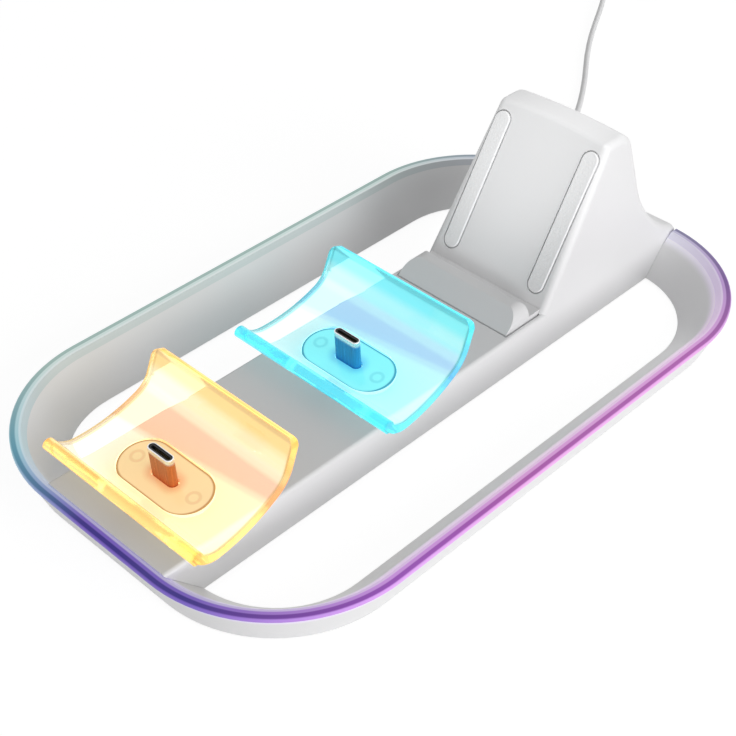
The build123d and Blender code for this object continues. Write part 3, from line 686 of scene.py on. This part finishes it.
@dataclass(frozen=True)
class LitRim(Finish):
    """Milky light guide: a dark core in a light band, whose hues run round the ring."""

    core_stops: Stops
    band_stops: Stops
    straight: tuple[float, float]
    corner: float
    glow: float
    core_start: float = 0.0003
    core_end: float = 0.0015
    band_end: float = 0.0024
    face_end: float = 0.00295
    blur: float = 0.0002
    milk: Colour = (0.8, 0.8, 0.82)
    milk_share: float = 0.4
    lit_start: float = 0.40
    lit_full: float = 0.48
    veil: float = 0.08
    gloss: tuple[float, float] = (0.25, 0.38)
    specular: float = 0.25
    grain_scale: float = 2500.0
    cloud_scale: float = 45.0

    def paint(self, graph: Graph) -> None:
        """Build the core, the band round it and the milky inner edge, whose far side stays unlit.

        Args:
            graph: the material's graph.
        """
        rim = self.group(
            graph,
            Effect.OUTLINE,
            {"Straight X": self.straight[0], "Straight Y": self.straight[1], "Corner": self.corner},
        )
        in_core, past_core, past_band, past_face = (
            graph.edge(rim["Depth"], end, self.blur)
            for end in (self.core_start, self.core_end, self.band_end, self.face_end)
        )
        core = graph.ramp(rim["Way"], self.core_stops)
        band = graph.ramp(rim["Way"], self.band_stops)
        pale = graph.blend(self.milk_share, band, self.milk)
        hue = graph.layers(band, (in_core, core), (past_core, band), (past_band, pale))
        cloud = self.grain(graph, self.grain_scale, self.cloud_scale)["Cloud"]
        veil = graph.spread(cloud, 0.0, self.veil)
        far_side = graph.spread(graph.step(rim["Way"], self.lit_start, self.lit_full), 1.0, 0.0)
        unlit = graph.math("MULTIPLY", past_face, far_side)
        self.surface(
            graph,
            {
                "Base Color": graph.blend(veil, hue, self.milk),
                "Roughness": graph.spread(cloud, *self.gloss),
                "Specular IOR Level": self.specular,
                "Emission Color": graph.blend(unlit, hue, BLACK),
                "Emission Strength": self.glow,
            },
        )


@dataclass(frozen=True)
class PlugSleeve(Finish):
    """Plug's sleeve: bright metal at its mouth, with its trough's colour painted on lower down as a
    reflection.
    """

    # The trough's colour, painted on the lower sleeve as a reflection.
    tint: Colour
    metal: Colour = (0.8, 0.8, 0.82)
    rim_height: float = 0.0234
    reflection_height: float = 0.0224
    stretch: Point = (1.0, 1.0, 0.04)
    streak_scale: float = 1800.0
    streak_dim: float = 0.45
    gloss: tuple[float, float] = (0.18, 0.32)
    tinted_metal: float = 0.35

    def paint(self, graph: Graph) -> None:
        """Build drawn metal whose colour changes with height: below it the trough's colour is a painted
        reflection.

        Args:
            graph: the material's graph.
        """
        streak = self.streaks(graph, self.stretch, self.streak_scale)
        # Above this height bright metal; below it the painted reflection of the trough.
        bright = graph.step(graph.axes()["Z"], self.reflection_height, self.rim_height)
        tinted = graph.blend(streak, dim(self.tint, self.streak_dim), self.tint)
        self.surface(
            graph,
            {
                "Base Color": graph.blend(bright, tinted, self.metal),
                "Metallic": graph.spread(bright, self.tinted_metal, 1.0),
                "Roughness": graph.spread(streak, *self.gloss),
            },
        )


@dataclass(frozen=True)
class DrawnMetal(Finish):
    """Metal with fine draw lines along one axis."""

    colour: Colour
    roughness: float = 0.25
    along: Point = (1.0, 1.0, 0.05)
    streak_scale: float = 6000.0
    streak_dim: float = 0.88
    gloss_spread: float = 0.06

    def paint(self, graph: Graph) -> None:
        """Build bright metal with stretched streaks in its gloss.

        Args:
            graph: the material's graph.
        """
        streak = self.streaks(graph, self.along, self.streak_scale)
        low = dim(self.colour, self.streak_dim)
        rough = graph.around(streak, self.roughness, self.gloss_spread)
        colour = graph.blend(streak, low, self.colour)
        self.surface(graph, {"Base Color": colour, "Metallic": 1.0, "Roughness": rough})


@dataclass(frozen=True)
class Woven(Finish):
    """Narrow woven strap with crossing threads."""

    colour: Colour
    thread: float = 0.0004
    wave_share: float = 0.3
    waver: float = 0.4
    gap_shade: float = 0.7
    strength: float = 0.5
    depth: float = 0.0001
    roughness: float = 0.85

    def paint(self, graph: Graph) -> None:
        """Build crossing threads from two wave bands.

        Args:
            graph: the material's graph.
        """
        place = graph.spot()
        waves = [
            graph.add(
                "ShaderNodeTexWave",
                {"Vector": place, "Scale": self.wave_share / self.thread, "Distortion": self.waver},
                bands_direction=axis,
            )
            for axis in ("DIAGONAL", "Z")
        ]
        cross = graph.math("MAXIMUM", waves[0].outputs[1], waves[1].outputs[1])
        # Painted shade in the gaps between the threads.
        low = dim(self.colour, self.gap_shade)
        colour = graph.blend(cross, low, self.colour)
        normal = graph.bump(self.strength, self.depth, cross)
        self.surface(graph, {"Base Color": colour, "Roughness": self.roughness, "Normal": normal})


@dataclass(frozen=True)
class StudioFloor(Finish):
    """White floor that keeps a faint shadow."""

    bounce: Colour = (0.8, 0.8, 0.8)
    shade: Colour = (0.22, 0.22, 0.22)
    light: float = 0.89

    def paint(self, graph: Graph) -> None:
        """Build a plain floor for the lamps, and a white one for the rays that show it.

        Args:
            graph: the material's graph.
        """
        bounce = graph.add("ShaderNodeBsdfDiffuse", {"Color": self.bounce})
        shade = graph.add("ShaderNodeBsdfDiffuse", {"Color": self.shade})
        light = graph.add("ShaderNodeEmission", {"Color": FULL, "Strength": self.light})
        white = graph.add("ShaderNodeAddShader", {0: shade.outputs[0], 1: light.outputs[0]})
        graph.add("ShaderNodeOutputMaterial", {"Surface": graph.by_sight(bounce, white)})


WHITE = Moulded("white_moulding", (0.80, 0.80, 0.805), roughness=0.38)
# Darker copy of the white moulding for the parts underneath: painted shade.
SHADE_WHITE = Moulded("white_underside", (0.76, 0.76, 0.765), roughness=0.5)
LEDGE_WHITE = Moulded("ledge_moulding", (0.76, 0.76, 0.765), roughness=0.42)
FOOT = Moulded("foot_rubber", (0.5, 0.5, 0.51), roughness=0.7, grain_scale=1800.0, grain_depth=0.0001)
LINER = Moulded("plug_liner", (0.012, 0.012, 0.013), roughness=0.45)
JACKET = Moulded("cord_jacket", (0.86, 0.86, 0.865), roughness=0.45, grain_scale=2500.0)
BOARD = Moulded("green_board", (0.03, 0.16, 0.07), roughness=0.35, cloud_scale=200.0, cloud_depth=0.3)
STRIP_BOARD = Moulded("white_board", (0.8, 0.8, 0.78), roughness=0.4, cloud_scale=200.0, cloud_depth=0.1)
INSERT = Moulded("plug_insert", (0.75, 0.75, 0.75), roughness=0.4)
SLEEVE = DrawnMetal("plug_sleeve", (0.75, 0.75, 0.77), roughness=0.22)
STEEL = DrawnMetal("screw_steel", (0.5, 0.5, 0.52), roughness=0.35, along=(1.0, 1.0, 1.0))
GOLD = DrawnMetal("contact_gold", (0.83, 0.62, 0.25), roughness=0.25)
STRAP = Woven("tie_strap", (0.6, 0.6, 0.6))


@dataclass(frozen=True)
class Contacts:
    """Rows of bowed contact fingers, set out by a node tree. Sizes in metres."""

    columns: int
    rows: int
    pitch: float
    row_gap: float
    width: float
    thick: float
    length: float
    bow: float

    @staticmethod
    def tree() -> Tree:
        """Build the node tree: one finger, repeated along a row, and the row turned for the next.

        Returns:
            The tree, the same one each time.
        """
        name = "contact_fingers"
        bow_steps = 9
        weld = 0.000001
        if name in bpy.data.node_groups:
            return bpy.data.node_groups[name]
        tree = bpy.data.node_groups.new(name, "GeometryNodeTree")
        for size in ("columns", "rows"):
            tree.interface.new_socket(size, in_out="INPUT", socket_type="NodeSocketInt")
        for size in ("pitch", "row_gap", "width", "thick", "length", "bow"):
            tree.interface.new_socket(size, in_out="INPUT", socket_type="NodeSocketFloat")
        tree.interface.new_socket("Geometry", in_out="OUTPUT", socket_type="NodeSocketGeometry")
        graph = Graph(tree)
        given = graph.add("NodeGroupInput").outputs
        strip = graph.add(
            "GeometryNodeMeshGrid",
            {
                "Size X": given["width"],
                "Size Y": given["length"],
                "Vertices X": 2,
                "Vertices Y": bow_steps,
            },
        )
        place = graph.add("ShaderNodeSeparateXYZ", {0: graph.add("GeometryNodeInputPosition").outputs[0]})
        angle = graph.math("MULTIPLY", graph.math("DIVIDE", place.outputs["Y"], given["length"]), math.pi)
        rise = graph.math("MULTIPLY", graph.math("COSINE", angle), given["bow"])
        bowed = graph.add(
            "GeometryNodeSetPosition", {"Geometry": strip.outputs["Mesh"], "Offset": graph.vector(Z=rise)}
        )
        upper = graph.add(
            "GeometryNodeExtrudeMesh",
            {"Mesh": bowed.outputs[0], "Offset Scale": given["thick"], "Individual": False},
        )
        under = graph.add("GeometryNodeFlipFaces", {"Mesh": bowed.outputs[0]})
        both = graph.add("GeometryNodeJoinGeometry", {0: upper.outputs["Mesh"]})
        tree.links.new(under.outputs[0], both.inputs[0])
        finger = graph.add("GeometryNodeMergeByDistance", {"Geometry": both.outputs[0], "Distance": weld})
        first = graph.math("MULTIPLY", graph.math("SUBTRACT", given["columns"], 1.0), given["pitch"])
        corner = graph.vector(
            X=graph.math("MULTIPLY", first, -0.5), Z=graph.math("MULTIPLY", given["row_gap"], -0.5)
        )
        step = graph.vector(X=given["pitch"])
        places = graph.add(
            "GeometryNodeMeshLine", {"Count": given["columns"], "Start Location": corner, "Offset": step}
        )
        row = graph.add(
            "GeometryNodeInstanceOnPoints", {"Points": places.outputs[0], "Instance": finger.outputs[0]}
        )
        turns = graph.add("GeometryNodeMeshLine", {"Count": given["rows"], "Offset": (0.0, 0.0, 0.0)})
        half_turn = graph.math("MULTIPLY", graph.add("GeometryNodeInputIndex").outputs[0], math.pi)
        turn = graph.vector(Y=half_turn)
        rows = graph.add(
            "GeometryNodeInstanceOnPoints",
            {"Points": turns.outputs[0], "Instance": row.outputs[0], "Rotation": turn},
        )
        real = graph.add("GeometryNodeRealizeInstances", {0: rows.outputs[0]})
        gold = graph.add(
            "GeometryNodeSetMaterial", {"Geometry": real.outputs[0], "Material": GOLD.material()}
        )
        graph.add("NodeGroupOutput", {0: gold.outputs[0]})
        return tree

    def build(self, name: str, seat: Matrix) -> None:
        """Build the fingers as one plain mesh at its seat.

        Args:
            name: the piece's name.
            seat: where the fingers go; they lie along its Y, side by side along its X.
        """
        piece = bpy.data.objects.new(name, bpy.data.meshes.new(f"{name}_start"))
        bpy.context.scene.collection.objects.link(piece)
        modifier = piece.modifiers.new("fingers", "NODES")
        modifier.node_group = self.tree()
        for socket in modifier.node_group.interface.items_tree:
            if socket.in_out == "INPUT":
                modifier[socket.identifier] = getattr(self, socket.name)
        settled = piece.evaluated_get(bpy.context.evaluated_depsgraph_get())
        mesh = bpy.data.meshes.new_from_object(settled)
        piece.modifiers.clear()
        mesh.transform(seat)
        piece.data = mesh
        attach(piece, BODY)
        LOG.info("built %s with %d faces", name, len(mesh.polygons))


class SubAssembly:
    """CAD nodes that belong together, with the finishes that they wear."""

    def finishes(self) -> dict[str, Finish]:
        """Say which finish each node wears."""
        raise NotImplementedError

    def build(self) -> None:
        """Build the meshes that the CAD nodes lack; a group may have none."""

    def dress(self) -> None:
        """Give every node its finish."""
        for name, finish in self.finishes().items():
            finish.dress(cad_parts[name])


class RimHue(Enum):
    """Hues that the rim's light runs through."""

    MINT = srgb(150, 175, 170)
    TEAL = srgb(80, 140, 160)
    INDIGO = srgb(40, 20, 120)
    VIOLET = srgb(140, 70, 170)
    PURPLE = srgb(160, 80, 160)
    PLUM = srgb(100, 60, 130)
    SLATE = srgb(110, 110, 140)


@dataclass
class LitRing(SubAssembly):
    """Ring moulding with its light guide, light board and lower cover. Sizes in metres."""

    length: float = 0.200
    width: float = 0.120
    corner: float = 0.040
    glow: float = 0.45
    # Heights on the ring wall between which the guide's painted glow fades in.
    wall_dark: float = 0.0084
    wall_lit: float = 0.0108
    band_power: float = 0.5
    # Share of the way round from the stand's end, by the far side, and the hue there
    hues: tuple[tuple[float, RimHue], ...] = (
        (0.05, RimHue.SLATE),
        (0.12, RimHue.MINT),
        (0.39, RimHue.MINT),
        (0.44, RimHue.TEAL),
        (0.49, RimHue.INDIGO),
        (0.55, RimHue.INDIGO),
        (0.62, RimHue.VIOLET),
        (0.70, RimHue.PURPLE),
        (0.87, RimHue.PURPLE),
        (0.92, RimHue.PLUM),
        (0.97, RimHue.SLATE),
    )

    def stops(self, power: float) -> Stops:
        """Give the hues round the ring, paler for a power under one.

        Args:
            power: the power that each channel is raised to.

        Returns:
            The stops of a ramp.
        """
        return tuple((way, tuple(channel**power for channel in hue.value)) for way, hue in self.hues)

    def finishes(self) -> dict[str, Finish]:
        """Say which finish each node wears.

        Returns:
            The finishes by node.
        """
        rim = LitRim(
            "lit_rim",
            self.stops(1.0),
            self.stops(self.band_power),
            straight=(self.length / 2 - self.corner, self.width / 2 - self.corner),
            corner=self.corner,
            glow=self.glow,
        )
        # The ring wall with the guide's glow painted on below its rim.
        wall = LitWall(
            "painted_glow_wall",
            WHITE.colour,
            WHITE.roughness,
            glow_stops=self.stops(self.band_power),
            dark_height=self.wall_dark,
            lit_height=self.wall_lit,
        )
        return {
            "ring_frame": wall,
            "light_guide": rim,
            "led_strip": STRIP_BOARD,
            "ring_cover": SHADE_WHITE,
        }


@dataclass
class BridgeAndStand(SubAssembly):
    """Bridge and stand moulding, with its ledge, grip strips, plate, feet, screws and board."""

    grip_colour: Colour = (0.86, 0.86, 0.865)
    grip_grain: float = 1500.0
    grip_depth: float = 0.0002

    def grip(self) -> Moulded:
        """Work out the coarse-grained rubber of the grip strips.

        Returns:
            The finish.
        """
        return Moulded(
            "grip_rubber",
            self.grip_colour,
            roughness=0.6,
            grain_scale=self.grip_grain,
            grain_depth=self.grip_depth,
            strength=0.6,
        )

    def finishes(self) -> dict[str, Finish]:
        """Say which finish each node wears.

        Returns:
            The finishes by node.
        """
        grip = self.grip()
        return {
            "dock_housing": WHITE,
            "rest_ledge": LEDGE_WHITE,
            "grip_strip_left": grip,
            "grip_strip_right": grip,
            "base_plate": SHADE_WHITE,
            "rubber_feet": FOOT,
            "base_screws": STEEL,
            "cradle_screws": STEEL,
            "control_board": BOARD,
        }


@dataclass
class Cradle(SubAssembly):
    """One clear trough with its oval pad, its plug and the plug's board. Sizes in metres."""

    tint: Tint
    place: float
    half_length: float = 0.0263
    end_taper: float = 4.0
    pad_length: float = 0.029
    pad_width: float = 0.0144
    peg_offset: float = 0.0103
    plug_length: float = 0.00834
    plug_width: float = 0.00256
    plug_tilt: float = 4.0
    plug_foot: float = 0.016
    finger_height: float = 0.005
    contacts: Contacts = Contacts(
        columns=12,
        rows=2,
        pitch=0.0005,
        row_gap=0.00086,
        width=0.00025,
        thick=0.00012,
        length=0.0042,
        bow=0.0001,
    )

    def finishes(self) -> dict[str, Finish]:
        """Say which finish each node wears.

        Returns:
            The finishes by node.
        """
        tint = self.tint.value
        colours = TINTS[self.tint]
        taper = math.tan(math.radians(self.end_taper))
        sizes = (self.pad_length, self.pad_width, self.plug_length, self.plug_width, self.peg_offset)
        pad = OvalPad(f"{tint}_pad", colours, self.place, *sizes)
        return {
            f"cradle_{tint}": ClearTint(f"clear_{tint}", colours, self.place, self.half_length, taper),
            f"plug_pad_{tint}": pad,
            # The sleeve wears the plug colour as a painted reflection of its trough.
            f"plug_shell_{tint}": PlugSleeve(f"{tint}_sleeve", colours.plug),
            f"plug_core_{tint}": LINER,
            f"plug_board_{tint}": BOARD,
        }

    def build(self) -> None:
        """Build the contact fingers inside the plug's mouth."""
        lean = Matrix.Rotation(math.radians(-self.plug_tilt), 4, "Y")
        upright = Matrix(((0, 0, 1, 0), (1, 0, 0, 0), (0, 1, 0, 0), (0, 0, 0, 1)))
        lift = Matrix.Translation((0.0, 0.0, self.finger_height))
        foot = Matrix.Translation((self.place, 0.0, self.plug_foot))
        self.contacts.build(f"plug_contacts_{self.tint.value}", foot @ lean @ lift @ upright)


@dataclass
class LeadPlug(SubAssembly):
    """Plug at the lead's far end. Sizes in metres."""

    contact_setback: float = 0.0008
    contacts: Contacts = Contacts(
        columns=4, rows=1, pitch=0.0023, row_gap=0.0, width=0.001, thick=0.00015, length=0.0065, bow=0.00008
    )

    def finishes(self) -> dict[str, Finish]:
        """Say which finish each node wears."""
        return {"usb_plug_body": JACKET, "usb_plug_shell": SLEEVE, "usb_plug_insert": INSERT}

    def build(self) -> None:
        """Build the four contacts on the insert's inner face."""
        low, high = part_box("usb_plug_insert")
        middle = (low[0] + high[0]) / 2
        along = low[1] + self.contact_setback + self.contacts.length / 2
        seat = Matrix.Translation((middle, along, low[2])) @ Matrix.Rotation(math.pi, 4, "Y")
        self.contacts.build("usb_plug_contacts", seat)


@dataclass
class PowerLead(SubAssembly):
    """The lead from the ring to its coil and plug, with its relief and tie. Sizes in millimetres."""

    route: tuple[Point, ...] = (
        (110.0, 10.0, 4.5),
        (119.0, 10.0, 4.5),
        (126.0, 16.5, 2.4),
        (129.5, 29.0, 1.0),
        (135.0, 44.5, 1.0),
        (161.4, 58.8, 1.0),
        (190.7, 80.0, 1.0),
    )
    diameter: float = 2.0
    approach: float = 20.0
    lead: float = 9.0
    entry_heading: float = 33.0
    centre: tuple[float, float] = (254.0, 98.0)
    middle: float = 11.0
    columns: int = 6
    pitch: float = 2.05
    lift: float = 0.9
    points_per_turn: int = 24
    rise_margin: float = 0.2
    round_steps: int = 3
    curve_steps: int = 4
    spline_order: int = 3
    tail_run: float = 4.0
    tail_shift: float = 1.0
    tail_length: float = 14.0
    plug_height: float = 3.95
    length: float = 0.94

    def finishes(self) -> dict[str, Finish]:
        """Say which finish each node wears."""
        return {"strain_relief": JACKET, "cord_tie": STRAP}

    def coil_points(self) -> list[Point]:
        """Work out the turns: inwards on the lower layer, up, and outwards on the upper one.

        Returns:
            The points, in order.
        """
        outer = self.middle + (self.columns - 1) * self.pitch / 2
        inner = self.middle - (self.columns - 1) * self.pitch / 2
        start = math.radians(90 + self.entry_heading)
        inward = self.columns - 1
        held = 1 + (90 + self.entry_heading) / 360
        total = 2 * inward + held
        grow = 1 / math.cos(math.pi / self.points_per_turn)
        low = self.lift + self.diameter / 2
        points = []
        count = round(total * self.points_per_turn)
        for index in range(count + 1):
            turn = total * index / count
            reach = outer - self.pitch * min(turn, inward) + self.pitch * max(turn - inward - held, 0)
            climb = (turn - inward - self.rise_margin) / (held - 2 * self.rise_margin)
            rise = min(max(climb, 0), 1)
            angle = start - 2 * math.pi * turn
            points.append(
                (
                    self.centre[0] + max(reach, inner) * grow * math.cos(angle),
                    self.centre[1] + max(reach, inner) * grow * math.sin(angle),
                    low + self.pitch * rise * rise * (3 - 2 * rise),
                )
            )
        return points

    def points(self) -> list[Point]:
        """List the whole route: lead, coil and tail.

        Returns:
            The points, in order.
        """
        coil = self.coil_points()
        heading = math.radians(self.entry_heading)
        way = Vector((math.cos(heading), math.sin(heading), 0))
        touch = Vector(coil[0])
        leave = Vector(coil[-1])
        tail = leave - Vector((0, self.lead, 0))
        end = Vector((tail.x + self.tail_shift, tail.y - self.tail_length, self.plug_height))
        return [
            *self.route,
            tuple(touch - way * (self.lead + self.approach)),
            tuple(touch - way * self.lead),
            *coil,
            tuple(tail),
            tuple(tail - Vector((0, self.tail_run, 0))),
            tuple(end + Vector((0, self.tail_run, 0))),
            tuple(end),
        ]

    def build(self) -> None:
        """Build the lead as a round NURBS spline."""
        curve = bpy.data.curves.new("power_lead", "CURVE")
        curve.dimensions = "3D"
        curve.bevel_depth = self.diameter / 2 * MM
        curve.bevel_resolution = self.round_steps
        curve.resolution_u = self.curve_steps
        curve.use_fill_caps = True
        spline = curve.splines.new("NURBS")
        points = self.points()
        spline.points.add(len(points) - 1)
        for control, point in zip(spline.points, points):
            control.co = (*(value * MM for value in point), 1.0)
        spline.order_u = self.spline_order
        spline.use_endpoint_u = True
        lead = bpy.data.objects.new("power_lead", curve)
        bpy.context.scene.collection.objects.link(lead)
        JACKET.dress(lead)
        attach(lead, BODY)
        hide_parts("power_cord", "cord_coil", "cord_tail")
        LOG.info("built %s with %d points", lead.name, len(points))


class LampKind(Enum):
    """Kinds of studio lamp."""

    SOFT = "AREA"
    BEAM = "SPOT"


@dataclass(frozen=True)
class Lamp:
    """One studio lamp, in metres, watts and degrees; the cone is a beam's full angle."""

    name: str
    kind: LampKind
    place: Point
    target: Point
    size: float
    power: float
    height: float = 0.0
    cone: float = 0.0

    def build(self) -> None:
        """Hang the lamp at its place, facing its target."""
        data = bpy.data.lights.new(self.name, self.kind.value)
        data.energy = self.power
        if self.kind is LampKind.SOFT:
            data.shape = "RECTANGLE"
            data.size = self.size
            data.size_y = self.height
        else:
            data.shadow_soft_size = self.size
            data.spot_size = math.radians(self.cone)
            data.spot_blend = 1.0
        lamp = bpy.data.objects.new(self.name, data)
        facing = (Vector(self.target) - Vector(self.place)).to_track_quat("-Z", "Y")
        lamp.matrix_world = Matrix.Translation(self.place) @ facing.to_matrix().to_4x4()
        bpy.context.scene.collection.objects.link(lamp)


@dataclass
class Studio:
    """Floor, lamps, world and camera, in metres and degrees."""

    camera_place: Point = (-0.236602, -0.217104, 0.267618)
    azimuth: float = -46.40
    elevation: float = 39.42
    roll: float = 0.74
    lens: float = 75.04
    sensor: float = 36.0
    clip_start: float = 0.01
    world_light: float = 0.37
    floor_size: float = 4.0
    lamps: tuple[Lamp, ...] = (
        Lamp("near_lamp", LampKind.SOFT, (0.1, -1.2, 0.42), (0.0, 0.0, 0.02), 0.8, 7.0, height=0.8),
        Lamp("front_lamp", LampKind.SOFT, (-0.75, -1.05, 0.16), (0.0, 0.0, 0.02), 0.8, 4.6, height=0.25),
        Lamp("right_lamp", LampKind.SOFT, (1.2, 0.2, 0.5), (0.0, 0.0, 0.02), 0.8, 2.0, height=0.8),
        Lamp("stand_lamp", LampKind.BEAM, (-0.25, -0.15, 0.85), (0.058, 0.0, 0.052), 0.01, 16.0, cone=4.6),
    )

    def make_camera(self) -> None:
        """Place the camera where the photograph was taken from."""
        data = bpy.data.cameras.new("camera")
        data.lens = self.lens
        data.sensor_width = self.sensor
        data.clip_start = self.clip_start
        camera = bpy.data.objects.new("camera", data)
        turn = Matrix.Rotation(math.radians(self.azimuth), 4, "Z")
        tip = Matrix.Rotation(math.radians(90 - self.elevation), 4, "X")
        twist = Matrix.Rotation(math.radians(self.roll), 4, "Z")
        camera.matrix_world = Matrix.Translation(self.camera_place) @ turn @ tip @ twist
        bpy.context.scene.collection.objects.link(camera)
        bpy.context.scene.camera = camera

    def make_floor(self) -> None:
        """Lay a white floor that keeps a faint shadow."""
        half = self.floor_size / 2
        mesh = bpy.data.meshes.new("floor")
        mesh.from_pydata(
            [(-half, -half, 0), (half, -half, 0), (half, half, 0), (-half, half, 0)], [], [(0, 1, 2, 3)]
        )
        floor = bpy.data.objects.new("floor", mesh)
        bpy.context.scene.collection.objects.link(floor)
        StudioFloor("studio_floor").dress(floor)

    def make_world(self) -> None:
        """Light evenly from all round, and show white behind the floor."""
        world = bpy.data.worlds.new("studio")
        world.use_nodes = True
        world.node_tree.nodes.clear()
        graph = Graph(world.node_tree)
        light = graph.add("ShaderNodeBackground", {"Color": FULL, "Strength": self.world_light})
        white = graph.add("ShaderNodeBackground", {"Color": FULL, "Strength": 1.0})
        graph.add("ShaderNodeOutputWorld", {"Surface": graph.by_sight(light, white)})
        bpy.context.scene.world = world

    def build(self) -> None:
        """Build the whole studio."""
        self.make_camera()
        self.make_floor()
        self.make_world()
        for lamp in self.lamps:
            lamp.build()
        bpy.context.scene.view_settings.view_transform = "Standard"
        LOG.info("built the studio")


def main() -> None:
    """Build the studio, then build and dress each sub-assembly in order."""
    logging.basicConfig(level=logging.INFO)
    Studio().build()
    groups = (
        LitRing(),
        BridgeAndStand(),
        Cradle(Tint.AMBER, place=-0.078),
        Cradle(Tint.CYAN, place=-0.016),
        LeadPlug(),
        PowerLead(),
    )
    for group in groups:
        group.build()
        group.dress()


if __name__ == "__main__":
    main()
